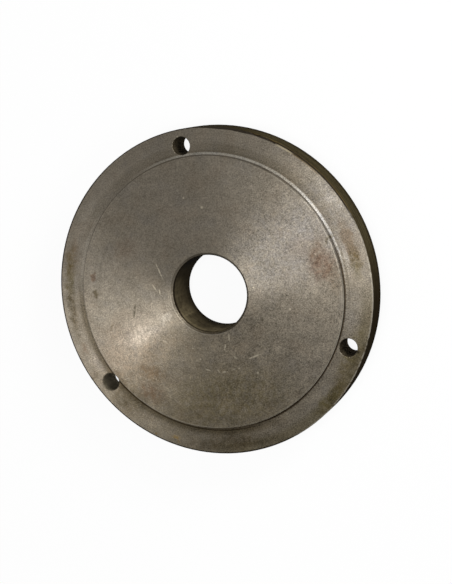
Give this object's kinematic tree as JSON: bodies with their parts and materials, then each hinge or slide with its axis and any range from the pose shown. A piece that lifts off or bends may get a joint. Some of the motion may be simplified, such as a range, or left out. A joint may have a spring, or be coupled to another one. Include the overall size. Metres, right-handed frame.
{
  "type": "lathe chuck backplate",
  "caption": "Round cast-iron backplate with a raised register, a plain bore, a low rear boss and through-holes for the chuck's screws.",
  "frame": {"origin": "centre of the rear boss's end face, which is the lowest face of the plate as it lies on its back", "axes": "+Z along the bore towards the register; +Y from the bore to the first screw hole"},
  "size_m": [0.2, 0.2, 0.03],
  "materials": {
    "turned_iron": "turned all over, dulled grey-brown with light stains, a dark oily rim and worn edges"
  },
  "bodies": {
    "root": {"backplate": "turned_iron"}
  },
  "joints": []
}
